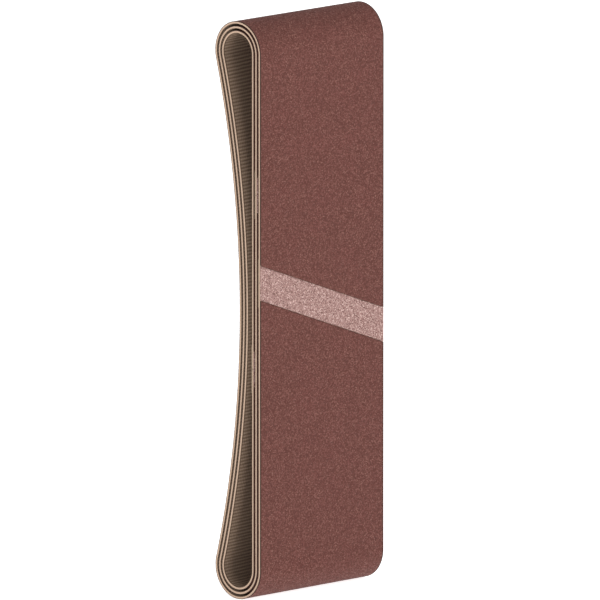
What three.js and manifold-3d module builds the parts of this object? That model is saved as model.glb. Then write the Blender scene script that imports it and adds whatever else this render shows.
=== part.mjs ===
// A set of three endless sanding belts, nested one inside the other and pressed flat for storage.
// Each belt is a strip of woven cloth with a resin bond coat and a coat of abrasive grain on its outside.
// The strip's two ends are cut on the skew and butt together on the front run: a tape joins them on the
// cloth side, and on the grain side the coat is ground down to a paler band.
// Millimetres, +Z up. X runs across the belts, -Y faces the flat front run, and the origin is under the
// middle of the set, which stands on its lower bend.
import * as THREE from "three";
import { mergeVertices } from "three/addons/utils/BufferGeometryUtils.js";
import Module from "manifold-3d";

const wasm = await Module();
wasm.setup();

// The belt: its nominal size, and the layers from the cloth outwards.
const BELT_WIDTH = 75;
const BELT_LENGTH = 533; // of the strip that the outer belt is made from: it keeps this at mid-cloth
const CLOTH_THICKNESS = 0.95;
const BOND_THICKNESS = 0.06;
const GRAIN_THICKNESS = 0.16;
const COAT_THICKNESS = BOND_THICKNESS + GRAIN_THICKNESS;
const BELT_THICKNESS = CLOTH_THICKNESS + COAT_THICKNESS;

// The set: how the belts lie together.
const BELT_GAP = 0.83;
const END_RADIUS = 13.7; // the outer belt's outside, at the bends
const WAIST = 12.6; // the set's thickness at mid-height, where the back run is pressed in
const ARC_STEPS = 13; // each bend and the back run take twice as many flat facets

// The splice that closes each strip into a loop.
const SPLICE_SKEW = THREE.MathUtils.degToRad(20); // away from square across the belt
const SPLICE_BUTT_GAP = 0.3; // left between the strip's two ends, along the belt
const BAND_LENGTH = 14.9; // of belt that the ground-down band takes
const BAND_SIDE_GAP = 0.2; // from the band to the full coat on each side of it
const BAND_GROUND_OFF = 0.06; // how far the band lies below the full coat
const TAPE_LENGTH = 21;
const TAPE_THICKNESS = 0.15;
const SPLICE_HEIGHTS = { outer: 0, middle: 38, inner: -38 }; // from mid-height, so the tapes don't stack

const WAIST_OFFSET = WAIST - END_RADIUS; // the waist's outer surface, from the plane of the bends' centres
const MID_CLOTH_DEPTH = COAT_THICKNESS + CLOTH_THICKNESS / 2;

// The back run is one long arc, tangent to both bends. This is its radius on the outside of the set, when the
// bends' centres are halfSpan above and below the middle.
function backRadiusFor(halfSpan) {
  return (halfSpan ** 2 + WAIST_OFFSET ** 2 - END_RADIUS ** 2) / (2 * (END_RADIUS - WAIST_OFFSET));
}

// The angle by which each bend runs on past a half turn, until it meets the back run.
function overturnFor(halfSpan) {
  return Math.atan2(halfSpan, WAIST_OFFSET + backRadiusFor(halfSpan));
}

function loopLength(halfSpan, depth) {
  const overturn = overturnFor(halfSpan);
  const bends = 2 * (END_RADIUS - depth) * (Math.PI + overturn);
  const backRun = 2 * (backRadiusFor(halfSpan) + depth) * overturn;
  return 2 * halfSpan + bends + backRun;
}

// The half span that gives the outer belt its length. A change of the half span changes the loop four times as
// much, so this settles in a few steps.
function halfSpanFor(length) {
  let halfSpan = length / 4;
  for (let step = 0; step < 12; step++) {
    halfSpan += (length - loopLength(halfSpan, MID_CLOTH_DEPTH)) / 4;
  }
  return halfSpan;
}

const HALF_SPAN = halfSpanFor(BELT_LENGTH);
const BACK_RADIUS = backRadiusFor(HALF_SPAN);
const OVERTURN = overturnFor(HALF_SPAN);
const MID_HEIGHT = HALF_SPAN + END_RADIUS;

// Each belt's depth inside the set, and the height of its splice on the front run.
const BELTS = Object.entries(SPLICE_HEIGHTS).map(([name, height], place) => ({
  name,
  depth: place * (BELT_THICKNESS + BELT_GAP),
  spliceHeight: MID_HEIGHT + height,
}));

const MATERIALS = {
  backing: new THREE.MeshStandardMaterial({ color: 0xa8917a, roughness: 0.9, metalness: 0 }),
  bond_coat: new THREE.MeshStandardMaterial({ color: 0x3d2219, roughness: 0.6, metalness: 0 }),
  grain_coat: new THREE.MeshStandardMaterial({ color: 0x774e48, roughness: 0.85, metalness: 0 }),
  splice_band: new THREE.MeshStandardMaterial({ color: 0xb3908a, roughness: 0.8, metalness: 0 }),
  splice_tape: new THREE.MeshStandardMaterial({ color: 0xc9bda4, roughness: 0.45, metalness: 0 }),
};

const frontAt = (depth) => -(END_RADIUS - depth);

// The loop's outline as seen along X, in Y and Z, at a depth inside the set's outer surface. It runs down the
// front, round the lower bend, up the back and over the top. Its arcs keep their centres at every depth, so
// each layer lies true on the next.
function outline(depth) {
  const bendRadius = END_RADIUS - depth;
  const bottom = MID_HEIGHT - HALF_SPAN;
  const top = MID_HEIGHT + HALF_SPAN;
  const backCentre = WAIST_OFFSET + BACK_RADIUS;
  const shape = new THREE.Shape();
  shape.moveTo(frontAt(depth), top);
  shape.lineTo(frontAt(depth), bottom);
  shape.absarc(0, bottom, bendRadius, Math.PI, 2 * Math.PI + OVERTURN, false);
  shape.absarc(backCentre, MID_HEIGHT, BACK_RADIUS + depth, Math.PI + OVERTURN, Math.PI - OVERTURN, true);
  shape.absarc(0, top, bendRadius, -OVERTURN, Math.PI, false);
  return shape;
}

// One layer of a belt all round the loop, from one depth to a deeper one.
function loopLayer(depth, thickness) {
  const ring = outline(depth);
  ring.holes.push(outline(depth + thickness));
  const geometry = new THREE.ExtrudeGeometry(ring, {
    depth: BELT_WIDTH,
    bevelEnabled: false,
    curveSegments: ARC_STEPS,
  });
  const across = new THREE.Vector3(1, 0, 0);
  const back = new THREE.Vector3(0, 1, 0);
  const up = new THREE.Vector3(0, 0, 1);
  geometry.applyMatrix4(new THREE.Matrix4().makeBasis(back, up, across));
  return geometry.translate(-BELT_WIDTH / 2, 0, 0);
}

// A flat plate on the front run between two depths, with its long edges on the splice's skew. Its length is
// measured along the belt, and its width across it.
function skewPlate({ height, length, width, depth, thickness }) {
  const half = width / 2;
  const fall = half * Math.tan(SPLICE_SKEW);
  const shape = new THREE.Shape([
    new THREE.Vector2(-half, height + fall - length / 2),
    new THREE.Vector2(half, height - fall - length / 2),
    new THREE.Vector2(half, height - fall + length / 2),
    new THREE.Vector2(-half, height + fall + length / 2),
  ]);
  const geometry = new THREE.ExtrudeGeometry(shape, { depth: thickness, bevelEnabled: false });
  const across = new THREE.Vector3(1, 0, 0);
  const up = new THREE.Vector3(0, 0, 1);
  const forward = new THREE.Vector3(0, -1, 0);
  geometry.applyMatrix4(new THREE.Matrix4().makeBasis(across, up, forward));
  return geometry.translate(0, frontAt(depth + thickness), 0);
}

function solidOf(geometry) {
  const bare = geometry.clone().deleteAttribute("normal").deleteAttribute("uv");
  const merged = mergeVertices(bare);
  return new wasm.Manifold(
    new wasm.Mesh({
      numProp: 3,
      vertProperties: merged.attributes.position.array,
      triVerts: new Uint32Array(merged.index.array),
    }),
  );
}

function geometryOf(solid) {
  const { vertProperties, triVerts } = solid.getMesh();
  const geometry = new THREE.BufferGeometry();
  geometry.setAttribute("position", new THREE.BufferAttribute(vertProperties, 3));
  geometry.setIndex(new THREE.BufferAttribute(triVerts, 1));
  return geometry;
}

// The loop layer, opened on the front run by a skew slot of the given length.
function openedLayer(depth, thickness, height, slotLength) {
  const margin = 0.5; // past the layer on all sides, and still short of the back run
  const slot = skewPlate({
    height,
    length: slotLength,
    width: BELT_WIDTH + 2 * margin,
    depth: depth - margin,
    thickness: thickness + 2 * margin,
  });
  return geometryOf(solidOf(loopLayer(depth, thickness)).subtract(solidOf(slot)));
}

// One belt's pieces, by what each is called.
function beltPieces({ depth, spliceHeight: height }) {
  const clothDepth = depth + COAT_THICKNESS;
  const plate = { height, width: BELT_WIDTH };
  const bandSlot = BAND_LENGTH + 2 * BAND_SIDE_GAP;
  return {
    backing: openedLayer(clothDepth, CLOTH_THICKNESS, height, SPLICE_BUTT_GAP),
    bond_coat: openedLayer(depth + GRAIN_THICKNESS, BOND_THICKNESS, height, bandSlot),
    grain_coat: openedLayer(depth, GRAIN_THICKNESS, height, bandSlot),
    splice_band: skewPlate({
      ...plate,
      length: BAND_LENGTH,
      depth: depth + BAND_GROUND_OFF,
      thickness: COAT_THICKNESS - BAND_GROUND_OFF,
    }),
    splice_tape: skewPlate({
      ...plate,
      length: TAPE_LENGTH,
      depth: depth + BELT_THICKNESS,
      thickness: TAPE_THICKNESS,
    }),
  };
}

const set = new THREE.Group();
for (const belt of BELTS) {
  const group = new THREE.Group();
  for (const [piece, geometry] of Object.entries(beltPieces(belt))) {
    const mesh = new THREE.Mesh(geometry, MATERIALS[piece]);
    mesh.name = `${belt.name}_${piece}`;
    group.add(mesh);
  }
  set.add(group);
}

export default set;
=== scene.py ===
# %% [markdown]
# # Nested sanding belts
#
# The object is a set of endless cloth sanding belts, one inside the other, pressed flat for storage. Each
# belt is a strip of ribbed cotton cloth with a dark resin on its outside, abrasive grain in the resin, and a
# skewed splice that closes the strip into a loop. The front run is straight, both ends are round bends, and
# the back run is pinched in.
#
# A CAD model fixes where everything is. This lesson builds the looks round it: every piece is a strip that
# follows the loop, with real ribs, real grain relief and a material of its own.

import math

import bpy
import numpy as np
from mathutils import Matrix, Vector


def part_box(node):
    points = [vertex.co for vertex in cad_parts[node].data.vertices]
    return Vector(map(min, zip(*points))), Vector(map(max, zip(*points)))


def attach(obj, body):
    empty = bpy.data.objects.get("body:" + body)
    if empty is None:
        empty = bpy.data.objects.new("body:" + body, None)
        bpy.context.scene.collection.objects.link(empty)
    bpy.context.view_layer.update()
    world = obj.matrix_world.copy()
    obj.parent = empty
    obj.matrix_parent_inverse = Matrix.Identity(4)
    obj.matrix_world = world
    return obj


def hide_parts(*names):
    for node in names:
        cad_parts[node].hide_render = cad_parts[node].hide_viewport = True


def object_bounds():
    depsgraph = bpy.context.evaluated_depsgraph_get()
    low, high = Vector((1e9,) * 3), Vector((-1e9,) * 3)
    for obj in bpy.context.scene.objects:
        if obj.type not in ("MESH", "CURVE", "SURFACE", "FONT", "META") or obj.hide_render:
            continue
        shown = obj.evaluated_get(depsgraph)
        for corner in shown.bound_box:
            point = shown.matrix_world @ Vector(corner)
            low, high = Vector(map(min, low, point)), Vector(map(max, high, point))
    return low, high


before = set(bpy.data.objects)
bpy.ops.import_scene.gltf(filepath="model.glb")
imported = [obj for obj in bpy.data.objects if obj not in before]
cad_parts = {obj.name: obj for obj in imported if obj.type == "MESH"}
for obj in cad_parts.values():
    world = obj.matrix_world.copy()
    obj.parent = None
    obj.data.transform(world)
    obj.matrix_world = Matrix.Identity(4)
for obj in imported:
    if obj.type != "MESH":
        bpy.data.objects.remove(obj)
cad_low, cad_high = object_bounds()
MM = 0.001
print("CAD box in mm:", [round(side / MM, 2) for side in cad_high - cad_low])

# %% [markdown]
# ## Sizes of the set
#
# The pieces have to lie exactly where the CAD solids lie, so their sizes are measured from the frame. Only
# the splice's skew and its two gaps are repeated from the CAD. The front run is flat and faces -Y, so how far
# a layer's front lies behind the outermost one's is its depth in the set. The pinched-in back run is one long
# arc that meets both bends smoothly. Its radius follows from the bends' radius, their distance and the
# thickness at the waist: the two centres and the point where the arcs touch lie on one line.

# %% Measure the bends and the back run
coat_low, coat_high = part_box("outer_grain_coat")
BEND_RADIUS = -coat_low.y
BELT_WIDTH = coat_high.x - coat_low.x
MID_HEIGHT = (coat_low.z + coat_high.z) / 2
HALF_SPAN = MID_HEIGHT - BEND_RADIUS

coat_points = np.array([v.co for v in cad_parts["outer_grain_coat"].data.vertices])
NEAR_WAIST = 1 * MM
waist_points = coat_points[np.abs(coat_points[:, 2] - MID_HEIGHT) < NEAR_WAIST]
WAIST_BACK = float(waist_points[:, 1].max())
BACK_RADIUS = (HALF_SPAN**2 + WAIST_BACK**2 - BEND_RADIUS**2) / (2 * (BEND_RADIUS - WAIST_BACK))
OVERTURN = math.atan2(HALF_SPAN, WAIST_BACK + BACK_RADIUS)
print(f"bends {BEND_RADIUS / MM:.2f} mm, back run {BACK_RADIUS / MM:.1f} mm")
print(f"each bend turns {180 + math.degrees(OVERTURN):.1f} degrees")


# %% Measure the layers of each belt
SPLICE_SKEW = math.radians(20)
BUTT_GAP = 0.3 * MM
BAND_SIDE_GAP = 0.2 * MM


def depth_of(node):
    """How deep a layer's outer face lies in the set: the outermost bend radius less the layer's own."""
    return BEND_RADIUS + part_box(node)[0].y


CLOTH = depth_of("outer_splice_tape") - depth_of("outer_backing")
COAT = depth_of("outer_backing") - depth_of("outer_grain_coat")
BOND = depth_of("outer_backing") - depth_of("outer_bond_coat")
BAND_DEPTH = depth_of("outer_splice_band") - depth_of("outer_grain_coat")
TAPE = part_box("outer_splice_tape")[1].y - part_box("outer_splice_tape")[0].y
for layer, thick in {"cloth": CLOTH, "bond": BOND, "whole coat": COAT, "tape": TAPE}.items():
    print(f"{layer}: {thick / MM:.2f} mm thick")


def plate_length(node):
    """The length along the belt of a skewed plate: its height less what the skew adds across the width."""
    low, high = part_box(node)
    return high.z - low.z - BELT_WIDTH * math.tan(SPLICE_SKEW)


BAND_LENGTH = plate_length("outer_splice_band")
TAPE_LENGTH = plate_length("outer_splice_tape")
print(f"splice band {BAND_LENGTH / MM:.1f} mm, tape {TAPE_LENGTH / MM:.1f} mm along the belt")

# %% [markdown]
# ## The line that a belt follows
#
# Every piece is the same strip, wrapped round the same kind of loop, so the loop is worked out once. A point
# on it is given by the distance along the belt, starting at the middle of the front run and going down,
# round the lower bend, up the back and over the top. The direction square to the belt turns evenly along
# each leg, so the angle of that direction is the distance times the leg's curvature, and the point itself
# is a step from the leg's centre along it.


# %% The loop as a function of distance
def leg_lengths(depth):
    """The loop's five legs at a depth: half the front run, a bend, the back run, a bend, half the front run.
    An arc's length is its radius times the angle that it turns."""
    bend = (BEND_RADIUS - depth) * (math.pi + OVERTURN)
    back = 2 * (BACK_RADIUS + depth) * OVERTURN
    return np.array([HALF_SPAN, bend, back, bend, HALF_SPAN])


def belt_line(distance, depth):
    """Points on the loop at a depth, and the directions out of it, as (..., 2) arrays of Y and Z.
    The direction's angle is where the leg starts plus distance over radius, and the point is the leg's
    centre plus the radius along that direction. The back run bends the other way, so its radius counts as
    negative. On the two straight legs the point moves down by the distance instead."""
    lengths = leg_lengths(depth)
    ends = np.cumsum(lengths)
    around = np.mod(distance, ends[-1])
    leg = np.minimum(np.searchsorted(ends, around, side="right"), 4)
    past = around - (ends - lengths)[leg]
    bend = BEND_RADIUS - depth
    back = -(BACK_RADIUS + depth)
    curvature = np.array([0, 1 / bend, 1 / back, 1 / bend, 0])[leg]
    angle = np.array([math.pi, math.pi, OVERTURN, -OVERTURN, math.pi])[leg] + past * curvature
    outward = np.stack([np.cos(angle), np.sin(angle)], axis=-1)
    radius = np.array([bend, bend, back, bend, bend])[leg]
    centre_y = np.array([0, 0, WAIST_BACK + BACK_RADIUS, 0, 0])[leg]
    heights = MID_HEIGHT + HALF_SPAN * np.array([0, -1, 0, 1, 1])
    centre_z = heights[leg] - past * (curvature == 0)
    centre = np.stack([centre_y, centre_z], axis=-1)
    return centre + radius[..., None] * outward, outward


for belt in ("outer", "middle", "inner"):
    belt_length = leg_lengths(depth_of(f"{belt}_backing") + CLOTH / 2).sum()
    print(f"{belt} belt: {belt_length / MM:.1f} mm round the middle of its cloth")

# %% [markdown]
# ## Strips
#
# A strip could be a plane with a Solidify modifier, but its cut edges would then be plain and its two faces
# would need the same fineness. Here each cross-section is a ring of points: the outer face from left to
# right, down the right edge, back along the inner face and up the left edge. Each of the four takes as many
# points as it needs, so ribs, grain and cut edges can each be as fine as they are on the real belt, and what
# stays hidden costs next to nothing.
#
# Woven cloth is never quite square: the ribs, and with them the rows of rings, lean over by about three
# degrees. Near the splice the rows lean further, to its skew, so the strip ends in a clean slanted cut.

# %% A strip's cross-section
OUTER_FACE, RIGHT_EDGE, INNER_FACE, LEFT_EDGE = range(4)


def section_ring(top, bottom, outer_steps, inner_steps, edge_steps=1):
    """A ring of points round a strip: each side is an even run from its first corner up to the next side's.
    Returns the points' places across the belt, their heights over the cloth's outer face, and their
    sides."""
    half = BELT_WIDTH / 2
    corners = [(-half, top), (half, top), (half, bottom), (-half, bottom), (-half, top)]
    steps = [outer_steps, edge_steps, inner_steps, edge_steps]
    across, lift, side = [], [], []
    for number, count in enumerate(steps):
        share = np.arange(count) / count
        start, end = np.array(corners[number]), np.array(corners[number + 1])
        points = start + share[:, None] * (end - start)
        across.append(points[:, 0])
        lift.append(points[:, 1])
        side.append(np.full(count, number))
    return np.concatenate(across), np.concatenate(lift), np.concatenate(side)


# %% The lean of the rows near the splice
LEAN_KEPT = 12 * MM
LEAN_FADES_BY = 60 * MM
RIB_SKEW = math.radians(3)
RIB_LEAN = math.tan(RIB_SKEW)
SPLICE_LEAN = math.tan(SPLICE_SKEW)


def leaning(rows, across, loop):
    """Distances along the belt of a whole grid of points. A row's points are moved on in step with their
    place across, by the lean. It is the tangent of the skew near the splice, and fades smoothly to the ribs'
    lean, as 3t^2 - 2t^3."""
    from_splice = np.minimum(np.abs(rows), np.abs(loop - rows))
    t = np.clip((LEAN_FADES_BY - from_splice) / (LEAN_FADES_BY - LEAN_KEPT), 0, 1)
    lean = RIB_LEAN + (SPLICE_LEAN - RIB_LEAN) * t * t * (3 - 2 * t)
    return rows[:, None] + lean[:, None] * across[None, :]


for line, lean in {"rib": RIB_LEAN, "splice": SPLICE_LEAN}.items():
    print(f"a {line} runs {BELT_WIDTH * lean / MM:.1f} mm along the belt from edge to edge")

# %% [markdown]
# ## Two maps on each strip
#
# The cloth's threads run along and across the belt, so its finish needs a map that follows the strip:
# "Belt" holds the place across and the distance along, in metres. On a cut edge the place goes on past half
# the width by the height over the inner face, so a finish can tell how deep in the cloth it is. The second
# map, "OFBake", only lays the strip out flat for baking. A belt is seven times as long as it is wide, so it
# is cut into rows that lie one under the other, and the sides that nobody sees get a narrow share of each.

# %% Lay a strip out in rows
BAKE_ROWS = 3
BAKE_USED = 0.985
BAKE_MARGIN = 0.004
CAP_THICK = 0.4
CAP_LONG = 0.3
CAP_STARTS = (0.1, 0.6)


def bake_layout(row_number, ring_number, first_row, shares, row_count):
    """Flat coordinates of the corners. The strip is cut into equal stretches, one to each row of the layout:
    u is how far the corner lies along its stretch, and v is the row plus its share of the way round the
    ring."""
    stretch = math.ceil((row_count - 1) / BAKE_ROWS)
    layout_row = first_row // stretch
    u = (row_number - layout_row * stretch) / stretch * BAKE_USED
    v = (layout_row + BAKE_MARGIN + shares[ring_number] * (1 - 2 * BAKE_MARGIN)) / BAKE_ROWS
    return np.stack([u, v], axis=-1)


def ring_shares(across, lift, weights, side):
    """How far round the ring each point is, from 0 to 1, when each side's length counts by its weight."""
    closed_across = np.append(across, across[0])
    closed_lift = np.append(lift, lift[0])
    lengths = np.hypot(np.diff(closed_across), np.diff(closed_lift)) * np.array(weights)[side]
    return np.concatenate([[0], np.cumsum(lengths)]) / lengths.sum()


def cap_layout(across, lift):
    """Flat coordinates of the strip's two end caps. They stand upright in the column that the rows leave
    free: u is the point's height in the section and v is its place across the belt."""
    thick = (lift - lift.min()) / np.ptp(lift)
    u = BAKE_USED + (1 - BAKE_USED) * CAP_THICK * (1 + thick)
    v = (across / BELT_WIDTH + 0.5) * CAP_LONG
    first, last = [np.stack([u, start + v], axis=-1) for start in CAP_STARTS]
    return first, last[::-1]


# %% Build a strip's mesh
def set_uv(mesh, name, coordinates):
    """Stores one pair of coordinates for each corner of each face."""
    layer = mesh.uv_layers.new(name=name)
    layer.data.foreach_set("uv", coordinates.astype(np.float32).ravel())


def strip_corners(row_count, ring_count):
    """The row and the ring point of each corner of each four-sided face. The last face of a row has one ring
    point past the end, which stands for the first."""
    j, i = np.meshgrid(np.arange(row_count - 1), np.arange(ring_count), indexing="ij")
    return np.stack([j, j + 1, j + 1, j], axis=-1), np.stack([i, i, i + 1, i + 1], axis=-1)


def build_strip(name, belt, rows, ring, weights, relief=None, reach=None):
    """Makes a closed strip. rows are distances from the splice, and a grid point lies on the belt line at
    its distance, moved out along the line's direction by its lift. relief(distance, across, side) adds to
    the lift, and reach(shape, side) to the place across."""
    across, lift, side = ring
    distance = leaning(rows, across, belt["length"])
    lifts = np.broadcast_to(lift, distance.shape).copy()
    places = np.broadcast_to(across, distance.shape).copy()
    if relief is not None:
        lifts += relief(distance, places, side)
    if reach is not None:
        places += reach(distance.shape, side)
    point, outward = belt_line(belt["splice_at"] + distance, belt["depth"])
    flat = point + lifts[..., None] * outward
    positions = np.concatenate([places[..., None], flat], axis=-1)

    row_count, ring_count = distance.shape
    corner_rows, corner_ring = strip_corners(row_count, ring_count)
    quads = (corner_rows * ring_count + corner_ring % ring_count).reshape(-1, 4)
    first_cap = np.arange(ring_count)
    last_cap = (row_count - 1) * ring_count + first_cap[::-1]

    mesh = bpy.data.meshes.new(name)
    faces = quads.tolist() + [first_cap.tolist(), last_cap.tolist()]
    mesh.from_pydata(positions.reshape(-1, 3), [], faces)

    shares = ring_shares(across, lift, weights, side)
    sides_map = bake_layout(corner_rows, corner_ring, corner_rows[..., :1], shares, row_count)
    set_uv(mesh, "OFBake", np.concatenate([sides_map.reshape(-1, 2), *cap_layout(across, lift)]))
    corners = np.concatenate([quads.ravel(), first_cap, last_cap])
    round_section = places + np.sign(across) * (lift - lift.min())
    belt_map = np.stack([round_section.ravel(), distance.ravel()], axis=-1)
    set_uv(mesh, "Belt", belt_map[corners])

    piece = bpy.data.objects.new(name, mesh)
    bpy.context.scene.collection.objects.link(piece)
    mesh.shade_smooth()
    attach(piece, belt["body"])
    print(f"{name}: {len(quads) * 2} triangles")
    return piece


# %% [markdown]
# ## Finishes
#
# Shader sums are easier to read as sums than as boxes and links. A small class wraps a socket, so that
# Python's own operators add the Math nodes, and one method adds any other node. The finishes are kept in
# FINISHES, by what each is for.


# %% A socket that can be calculated with
class Wire:
    """A value that flows out of a socket. Arithmetic on it adds Math nodes to its tree."""

    def __init__(self, nodes, socket):
        self.nodes = nodes
        self.socket = socket

    def beside(self, name):
        """Another output of the node that this value comes from."""
        return Wire(self.nodes, self.socket.node.outputs[name])

    def __add__(self, other):
        return self.nodes.math("ADD", self, other)

    def __sub__(self, other):
        return self.nodes.math("SUBTRACT", self, other)

    def __rsub__(self, other):
        return self.nodes.math("SUBTRACT", other, self)

    def __mul__(self, other):
        return self.nodes.math("MULTIPLY", self, other)

    __radd__ = __add__
    __rmul__ = __mul__


class Nodes:
    """A node tree being made, of a material or of the world."""

    def __init__(self, owner):
        owner.use_nodes = True
        self.tree = owner.node_tree
        self.tree.nodes.clear()

    def add(self, kind, settings=None, sockets=None, out=0):
        """Adds a node: its settings first, then the values or links of its sockets. Returns one output, if
        the node has any."""
        node = self.tree.nodes.new(kind)
        for key, value in (settings or {}).items():
            if key == "stops":
                self.set_stops(node.color_ramp, value)
            else:
                setattr(node, key, value)
        for key, value in (sockets or {}).items():
            if isinstance(value, Wire):
                self.tree.links.new(value.socket, node.inputs[key])
            else:
                node.inputs[key].default_value = value
        return Wire(self, node.outputs[out]) if len(node.outputs) else None

    def set_stops(self, ramp, stops):
        """Gives a colour ramp its stops, each a place and a colour."""
        while len(ramp.elements) < len(stops):
            ramp.elements.new(1)
        for element, (place, colour) in zip(ramp.elements, stops):
            element.position = place
            element.color = (*colour, 1)

    def math(self, operation, *values):
        """Calculates with one or two values."""
        return self.add("ShaderNodeMath", {"operation": operation}, dict(enumerate(values)))

    def mix(self, factor, first, second):
        """Blends two colours."""
        colours = [value if isinstance(value, Wire) else (*value, 1) for value in (first, second)]
        return self.add(
            "ShaderNodeMix",
            {"data_type": "RGBA"},
            {"Factor": factor, 6: colours[0], 7: colours[1]},
            out=2,
        )

    def ramp(self, factor, stops):
        """Turns a number into a colour."""
        return self.add("ShaderNodeValToRGB", {"stops": stops}, {"Fac": factor})

    def between(self, value, low, high):
        """0 below low, 1 above high, and a smooth rise from one to the other."""
        settings = {"interpolation_type": "SMOOTHSTEP"}
        sockets = {"Value": value, "From Min": low, "From Max": high}
        return self.add("ShaderNodeMapRange", settings, sockets)

    def noise(self, place, size, detail=2):
        """Soft random variation whose lumps are about size across."""
        sockets = {"Vector": place, "Scale": 1 / size, "Detail": detail}
        return self.add("ShaderNodeTexNoise", {"noise_dimensions": "3D"}, sockets)


class Finish(Nodes):
    """A material being made, with a Principled shader at its end."""

    def __init__(self, name):
        self.material = bpy.data.materials.new(name)
        super().__init__(self.material)

    def finish(self, colour, roughness, height, bump, specular=0.5, glow=0.0):
        """Ends the material. The height goes through a Bump node, where 1 stands for a millimetre."""
        relief = {"Strength": bump, "Distance": 1 * MM, "Height": height}
        sockets = {
            "Base Color": colour,
            "Roughness": roughness,
            "Normal": self.add("ShaderNodeBump", sockets=relief),
            "Specular IOR Level": specular,
            "Emission Color": (1, 1, 1, 1),
            "Emission Strength": glow,
        }
        shader = self.add("ShaderNodeBsdfPrincipled", sockets=sockets)
        self.add("ShaderNodeOutputMaterial", sockets={"Surface": shader})
        print(f"{self.material.name}: {len(self.tree.nodes)} nodes")
        return self.material


FINISHES = {}


# %% [markdown]
# ## The abrasive coat
#
# The outside of a belt is crushed aluminium oxide, each grain a fraction of a millimetre, set in resin and
# sized over with more. From arm's length it is an even red-brown with a fine speckle: most grains are brown,
# a few are pale pink or orange where a facet shows through the resin, and the resin between them is darker.
# Voronoi cells are a good match for packed grains: each cell is one grain with a colour of its own, and the
# distance from its middle gives it a rounded top.

# %% Grains and edges, for every finish
EDGE_SHOWN = 0.12 * MM
# How far painted shade reaches in from each face's cut edges.
EDGE_SHADE_WIDTH = 0.9 * MM


def grain_cells(finish, place, size):
    """Voronoi cells of one grain each: a random number for each cell, and its height, which falls from its
    middle."""
    sockets = {"Vector": place, "Scale": 1 / size}
    cell = finish.add("ShaderNodeTexVoronoi", {"voronoi_dimensions": "3D"}, sockets, out="Color")
    number = finish.add("ShaderNodeSeparateColor", sockets={"Color": cell}, out="Red")
    return number, 1 - cell.beside("Distance")


def size_of(finish, vector):
    """The size of a vector's X, without its sign. On a belt that is how far a point lies from its middle."""
    x = finish.add("ShaderNodeSeparateXYZ", sockets={"Vector": vector}, out="X")
    return finish.math("ABSOLUTE", x)


def cut_edge(finish, place):
    """1 on the belt's two cut edges and 0 on its faces."""
    start = BELT_WIDTH / 2 - EDGE_SHOWN
    return finish.between(size_of(finish, place), start, start + EDGE_SHOWN / 2)


def painted_edge_shade(finish, place):
    """1 at a face's cut edges, falling to 0 over a narrow strip. It is the mask for painted shade, which
    stands in for the shade in the narrow gaps between nested belts and along the silhouette."""
    return finish.between(size_of(finish, place), BELT_WIDTH / 2 - EDGE_SHADE_WIDTH, BELT_WIDTH / 2)


# %% Abrasive finish
GRAIN_SIZE = 0.55 * MM
MOTTLE_SIZE = 9 * MM


def abrasive_finish():
    """Grain colours by cell, darkened between the grains and mottled very gently over centimetres. Painted
    shade darkens the face along its cut edges, and the cut edges themselves are partly painted shade.
    """
    finish = Finish("abrasive grain")
    place = finish.add("ShaderNodeTexCoord", out="Object")
    number, top = grain_cells(finish, place, GRAIN_SIZE)
    grains = [
        (0.0, (0.082, 0.027, 0.020)),
        (0.2, (0.116, 0.039, 0.031)),
        (0.5, (0.141, 0.050, 0.039)),
        (0.8, (0.168, 0.060, 0.048)),
        (1.0, (0.234, 0.099, 0.077)),
    ]
    colour = finish.ramp(number, grains)
    mottle = finish.noise(place, MOTTLE_SIZE, detail=3)
    colour = finish.mix(finish.between(mottle, 0.35, 0.75) * 0.25, colour, (0.167, 0.050, 0.045))
    resin = finish.between(top, 0.3, 0.6)
    colour = finish.mix(resin, (0.094, 0.030, 0.023), colour)
    # Painted shade: the face goes near black along its cut edges, standing in for the shade in the gaps
    # between belts.
    colour = finish.mix(painted_edge_shade(finish, place) * 0.95, colour, (0.028, 0.012, 0.008))
    # The cut edges are partly the dark resin of the cut section and partly painted shade of the narrow gaps
    # between nested belts.
    colour = finish.mix(cut_edge(finish, place), colour, (0.022, 0.009, 0.005))
    return finish.finish(colour, 0.9 - number * 0.25, top * number, bump=0.3, specular=0.25)


FINISHES["grain"] = abrasive_finish()

# %% Splice band finish
BAND_GRAIN_SIZE = 0.38 * MM
PIT_SIZE = 0.4 * MM


def band_finish():
    """Ground grain: flat pale tops, each lit its own way, with dark pits where it is ground through."""
    finish = Finish("ground splice")
    place = finish.add("ShaderNodeTexCoord", out="Object")
    number, top = grain_cells(finish, place, BAND_GRAIN_SIZE)
    tops = [
        (0.0, (0.102, 0.039, 0.032)),
        (0.25, (0.281, 0.152, 0.133)),
        (0.75, (0.393, 0.234, 0.211)),
        (1.0, (0.679, 0.480, 0.433)),
    ]
    colour = finish.ramp(number, tops)
    pits = finish.between(finish.noise(place, PIT_SIZE), 0.56, 0.68)
    colour = finish.mix(pits * 0.5, colour, (0.170, 0.070, 0.060))
    # The cut edges are partly the dark resin of the cut section and partly painted shade of the narrow gaps
    # between nested belts.
    colour = finish.mix(cut_edge(finish, place) * 0.6, colour, (0.060, 0.024, 0.016))
    return finish.finish(colour, 0.75 - number * 0.3, top + number, bump=0.4, specular=0.3)


FINISHES["band"] = band_finish()

# %% [markdown]
# ## Resin, cloth and tape
#
# The bond coat shows only as a dark line along the cut edges. The cloth is heavy cotton, filled with resin
# from behind, so its ribbed face is a dull dark brown. Its cut edges show clean cotton and are a light tan,
# but for a tenth of a millimetre along the inner face. The ribs themselves are in the mesh, and the finish
# adds the fine warp threads that cross them.

# %% Bond finish
LUMP_SIZE = 0.8 * MM


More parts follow.
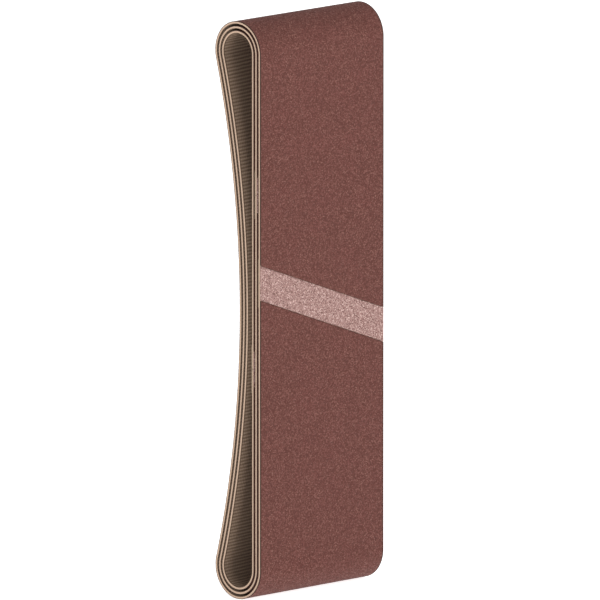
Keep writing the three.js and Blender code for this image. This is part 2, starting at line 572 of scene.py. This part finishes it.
def bond_finish():
    """Dark brown resin with a slightly uneven gloss."""
    finish = Finish("bond resin")
    place = finish.add("ShaderNodeTexCoord", out="Object")
    lumps = finish.noise(place, LUMP_SIZE)
    colour = finish.mix(lumps, (0.030, 0.012, 0.006), (0.075, 0.032, 0.018))
    return finish.finish(colour, lumps * 0.3 + 0.4, lumps, bump=0.1)


FINISHES["bond"] = bond_finish()

# %% Cloth finish
RIB_PITCH = 1.49 * MM
WARP_PITCH = 1.05 * MM
FUZZ_SIZE = 0.5 * MM
SOAKED = 0.11 * MM
FRAY = 0.10 * MM


def waves(finish, distance, pitch):
    """A wave from 0 to 1 and back over each pitch, as half of one less the cosine."""
    return 0.5 - finish.math("COSINE", distance * (2 * math.pi / pitch)) * 0.5


def cloth_finish():
    """Ribs with painted shade in their valleys, crossed by fine threads, and painted shade along the inner
    face's cut edges. The cut edges themselves show clean pale cotton, but for the SOAKED strip next to the
    inner face."""
    finish = Finish("backing cloth")
    place = finish.add("ShaderNodeTexCoord", out="Object")
    belt = finish.add("ShaderNodeUVMap", {"uv_map": "Belt"})
    across = finish.add("ShaderNodeSeparateXYZ", sockets={"Vector": belt}, out="X")
    along = across.beside("Y")
    crest = waves(finish, along - across * RIB_LEAN, RIB_PITCH)
    threads = waves(finish, across, WARP_PITCH)
    fuzz = finish.noise(place, FUZZ_SIZE, detail=3)
    # The crest term is painted shade: the colour darkens in the valleys between the mesh's ribs. The threads
    # and the fuzz are the cloth's own pattern.
    weave_and_valley_shade = crest * 0.7 + threads * 0.2 + fuzz * 0.25
    browns = [
        (0.1, (0.098, 0.063, 0.043)),
        (0.6, (0.168, 0.114, 0.080)),
        (1.0, (0.235, 0.166, 0.118)),
    ]
    colour = finish.ramp(weave_and_valley_shade, browns)
    # Painted shade: the inner face darkens along its cut edges, standing in for the shade in the gaps between
    # belts.
    colour = finish.mix(painted_edge_shade(finish, place) * 0.8, colour, (0.050, 0.030, 0.018))
    cotton = finish.mix(fuzz, (0.400, 0.280, 0.200), (0.600, 0.435, 0.325))
    over_inner_face = size_of(finish, belt) - BELT_WIDTH / 2
    clean = finish.between(over_inner_face, SOAKED - FRAY / 2, SOAKED + FRAY / 2)
    colour = finish.mix(clean, colour, cotton)
    return finish.finish(colour, 0.95, threads * crest + fuzz, bump=0.3, specular=0.2)


FINISHES["cloth"] = cloth_finish()

# %% Tape finish
TAPE_THREAD_PITCH = 0.8 * MM


def tape_finish():
    """Yellowish film over reinforcing threads that run along the belt."""
    finish = Finish("splice tape")
    belt = finish.add("ShaderNodeUVMap", {"uv_map": "Belt"})
    across = finish.add("ShaderNodeSeparateXYZ", sockets={"Vector": belt}, out="X")
    threads = waves(finish, across, TAPE_THREAD_PITCH)
    colour = finish.mix(threads, (0.330, 0.250, 0.160), (0.460, 0.370, 0.250))
    return finish.finish(colour, 0.45 - threads * 0.1, threads, bump=0.15)


FINISHES["tape"] = tape_finish()

# %% [markdown]
# ## The belts
#
# Each belt knows its depth in the set, its own length and where its splice lies. The splice's place is the
# middle of its CAD band.


# %% One belt's facts
def belt_facts(name):
    """A belt's driving values. splice_at is the distance from the middle of the front run down to the
    splice."""
    low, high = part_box(f"{name}_splice_band")
    depth = depth_of(f"{name}_backing")
    return {
        "name": name,
        "body": f"{name}_belt",
        "depth": depth,
        "length": float(leg_lengths(depth).sum()),
        "flat_length": float(leg_lengths(depth + CLOTH / 2).sum()) - BUTT_GAP,
        "splice_at": MID_HEIGHT - (low.z + high.z) / 2,
    }


BELTS = [belt_facts(name) for name in ("outer", "middle", "inner")]
for facts in BELTS:
    print(facts["name"], f"splice {facts['splice_at'] / MM:.1f} mm below the middle")


def even_rows(start, end, step):
    """Distances from start to end, as close to step apart as an even run allows."""
    return np.linspace(start, end, round((end - start) / step) + 1)


# %% [markdown]
# ### Cloth
#
# The ribs are thick weft cords that lie side by side, nearly square across the belt. A cord's section is
# round, so between two crests the surface dips in a narrow valley: the height follows the root of the sine's
# size, which is round on top and sharp in the valley. Cut cotton is never quite even either, so the points of
# the edges draw in by a random amount of up to a tenth of a millimetre.

# %% Cloth strips
RIB_DEPTH = 0.18 * MM
ROWS_PER_RIB = 8
CLOTH_COLUMNS = 12
EDGE_STEPS = 3
HIDDEN = 0.05


def rib_relief(distance, across, side):
    """How far the inner face's valleys rise from its crests: rib depth times one less the root of |sin|."""
    crest = np.sqrt(np.abs(np.sin(math.pi * (distance - RIB_LEAN * across) / RIB_PITCH)))
    return RIB_DEPTH * (1 - crest) * (side == INNER_FACE)


def frayed(seed):
    """A reach function that draws the points of both cut edges in by a random amount."""
    rng = np.random.default_rng(seed)

    def reach(shape, side):
        pull = rng.random(shape) * FRAY
        return pull * (side == LEFT_EDGE) - pull * (side == RIGHT_EDGE)

    return reach


def make_cloth(belt, seed):
    """The backing: nearly the whole loop, from one side of the butt joint round to the other."""
    start = BUTT_GAP / 2
    rows = even_rows(start, belt["length"] - start, RIB_PITCH / ROWS_PER_RIB)
    ring = section_ring(0, -CLOTH, outer_steps=2, inner_steps=CLOTH_COLUMNS, edge_steps=EDGE_STEPS)
    weights = (HIDDEN, 1, 1, 1)
    return build_strip(f"{belt['name']}_cloth", belt, rows, ring, weights, rib_relief, frayed(seed))


# %% [markdown]
# ### Coats, band and tape
#
# The grain coat is the same strip with a fine grid on its outside only. Each point is raised by a random
# amount, which gives the coat the broken surface that catches the light. The band is a short strip of its
# own, ground lower and finer, and the tape is a smooth film over the ribs.

# %% Coat strips
COAT_GRID = 0.7 * MM
BAND_GRID = 0.4 * MM
GRAIN_RELIEF = 0.06 * MM
BAND_RELIEF = 0.05 * MM
PLAIN_STEP = 1 * MM
TAPE_COLUMNS = 24
SELDOM_SEEN = 0.2


def grain_relief(seed, height):
    """A relief function that moves each point of the outer face out or in by up to half that height."""
    rng = np.random.default_rng(seed)

    def relief(distance, across, side):
        return (rng.random(distance.shape) - 0.5) * height * (side == OUTER_FACE)

    return relief


def columns(grid):
    """How many steps of that grid go across the belt."""
    return round(BELT_WIDTH / grid)


def make_bond(belt):
    """The resin under the grain, all round but for the band."""
    start = BAND_LENGTH / 2 + BAND_SIDE_GAP
    rows = even_rows(start, belt["length"] - start, PLAIN_STEP)
    ring = section_ring(BOND, 0, outer_steps=2, inner_steps=2)
    return build_strip(f"{belt['name']}_bond", belt, rows, ring, (1, 1, 1, 1))


def make_grain(belt, seed):
    """The grain coat, on the bond."""
    start = BAND_LENGTH / 2 + BAND_SIDE_GAP
    rows = even_rows(start, belt["length"] - start, COAT_GRID)
    ring = section_ring(COAT, BOND, outer_steps=columns(COAT_GRID), inner_steps=2)
    relief = grain_relief(seed, GRAIN_RELIEF)
    return build_strip(f"{belt['name']}_grain", belt, rows, ring, (1, 1, HIDDEN, 1), relief)


def make_band(belt, seed):
    """The ground-down coat over the splice, which goes down to the cloth."""
    rows = even_rows(-BAND_LENGTH / 2, BAND_LENGTH / 2, BAND_GRID)
    ring = section_ring(COAT - BAND_DEPTH, 0, outer_steps=columns(BAND_GRID), inner_steps=2)
    relief = grain_relief(seed, BAND_RELIEF)
    return build_strip(f"{belt['name']}_band", belt, rows, ring, (1, 1, SELDOM_SEEN, 1), relief)


def make_tape(belt):
    """The tape over the splice on the cloth side."""
    rows = even_rows(-TAPE_LENGTH / 2, TAPE_LENGTH / 2, PLAIN_STEP)
    ring = section_ring(-CLOTH, -CLOTH - TAPE, outer_steps=2, inner_steps=TAPE_COLUMNS)
    return build_strip(f"{belt['name']}_tape", belt, rows, ring, (SELDOM_SEEN, 1, 1, 1))


# %% Make the belts
PLACES = {
    "cloth": ("backing", "backing_cloth"),
    "bond": ("bond_coat", "bond_resin"),
    "grain": ("grain_coat", "abrasive_grain"),
    "band": ("splice_band", "ground_splice"),
    "tape": ("splice_tape", "splice_tape"),
}
SEEDS = {"cloth": 10, "grain": 20, "band": 30}

for number, facts in enumerate(BELTS):
    made = {
        "cloth": make_cloth(facts, SEEDS["cloth"] + number),
        "bond": make_bond(facts),
        "grain": make_grain(facts, SEEDS["grain"] + number),
        "band": make_band(facts, SEEDS["band"] + number),
        "tape": make_tape(facts),
    }
    for kind, piece in made.items():
        node, slot = PLACES[kind]
        piece.data.materials.append(FINISHES[kind])
        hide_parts(f"{facts['name']}_{node}")

# %% [markdown]
# ## Studio
#
# A plain pale floor that glows, as a light table does, a white surround and two broad soft lamps. The
# surround is as bright as the floor round the horizon, so the floor's far edge doesn't show, and dimmer
# overhead. The belts are matt, so most of their modelling comes from how much of it all each face sees. The
# front lamp brings out the grain, and the side lamp reaches into the loops.

# %% Floor, surround and lamps
FLOOR_HALF = 12.0
FLOOR_GLOW = 0.85
FLOOR_MOTTLE_SIZE = 0.5
FADE_STARTS = 0.3
FADE_ENDS = 0.5


def make_floor():
    """A square plane at the height of the lowest bend."""
    signs = [(-1, -1), (1, -1), (1, 1), (-1, 1)]
    corners = [(FLOOR_HALF * x, FLOOR_HALF * y, 0) for x, y in signs]
    mesh = bpy.data.meshes.new("floor")
    mesh.from_pydata(corners, [], [(0, 1, 2, 3)])
    floor = bpy.data.objects.new("floor", mesh)
    bpy.context.scene.collection.objects.link(floor)
    finish = Finish("floor")
    place = finish.add("ShaderNodeTexCoord", out="Object")
    mottle = finish.noise(place, FLOOR_MOTTLE_SIZE)
    colour = finish.mix(mottle, (0.90, 0.90, 0.90), (0.91, 0.91, 0.91))
    mesh.materials.append(finish.finish(colour, 0.9, 0, bump=0, specular=0.1, glow=FLOOR_GLOW))


def make_surround(horizon, overhead):
    """A white world, as bright as horizon all round and below. It fades to overhead between two heights, each
    given as the sine of the elevation."""
    world = bpy.data.worlds.new("surround")
    nodes = Nodes(world)
    direction = nodes.add("ShaderNodeTexCoord", out="Generated")
    rise = nodes.add("ShaderNodeSeparateXYZ", sockets={"Vector": direction}, out="Z")
    strength = horizon + nodes.between(rise, FADE_STARTS, FADE_ENDS) * (overhead - horizon)
    sockets = {"Color": (1, 1, 1, 1), "Strength": strength}
    background = nodes.add("ShaderNodeBackground", sockets=sockets)
    nodes.add("ShaderNodeOutputWorld", sockets={"Surface": background})
    bpy.context.scene.world = world


def make_lamp(name, azimuth, elevation, distance, size, watts):
    """A square area lamp that faces the set, at an azimuth and elevation in degrees as seen from the set."""
    turn, rise = math.radians(azimuth), math.radians(elevation)
    data = bpy.data.lights.new(name, "AREA")
    data.shape = "SQUARE"
    data.size = size
    data.energy = watts
    lamp = bpy.data.objects.new(name, data)
    away = (math.sin(turn) * math.cos(rise), -math.cos(turn) * math.cos(rise), math.sin(rise))
    lamp.location = [centre + distance * part for centre, part in zip(CENTRE, away)]
    lamp.rotation_euler = (math.pi / 2 - rise, 0, turn)
    bpy.context.scene.collection.objects.link(lamp)


CENTRE = (cad_low + cad_high) / 2
make_floor()
make_surround(horizon=1.0, overhead=0.5)
make_lamp("front", azimuth=10, elevation=60, distance=1.6, size=0.7, watts=8.5)
make_lamp("side", azimuth=-62, elevation=6, distance=1.6, size=0.5, watts=4)
bpy.context.scene.view_settings.view_transform = "Standard"

# %% [markdown]
# ## Camera
#
# The set is seen from its front left, a little from above, with no visible convergence. A very long lens far
# away gives that, and still lets the camera be moved round the set.

# %% Camera
LENS = 1500
SENSOR = 36
FRAME_OVER_HEIGHT = 1.0254
FRAME_SHIFT = 0.0007
VIEW_AZIMUTH = math.radians(-45)
VIEW_ELEVATION = math.radians(10)


def make_camera():
    """A camera at the distance where the frame is a little higher than the set: frame width over sensor
    width times the lens. It turns from straight down by a right angle less the elevation, and then by the
    azimuth."""
    data = bpy.data.cameras.new("camera")
    data.lens = LENS
    data.sensor_width = SENSOR
    frame_width = FRAME_OVER_HEIGHT * (cad_high.z - cad_low.z)
    distance = frame_width / SENSOR * LENS
    data.shift_x = FRAME_SHIFT
    data.clip_start = 0.1
    data.clip_end = 4 * distance
    level = math.cos(VIEW_ELEVATION)
    away = (math.sin(VIEW_AZIMUTH) * level, -math.cos(VIEW_AZIMUTH) * level, math.sin(VIEW_ELEVATION))
    camera = bpy.data.objects.new("camera", data)
    camera.location = [centre + distance * part for centre, part in zip(CENTRE, away)]
    camera.rotation_euler = (math.pi / 2 - VIEW_ELEVATION, 0, VIEW_AZIMUTH)
    bpy.context.scene.collection.objects.link(camera)
    bpy.context.scene.camera = camera
    print(f"camera {distance:.2f} m away, frame {frame_width / MM:.1f} mm wide")


make_camera()
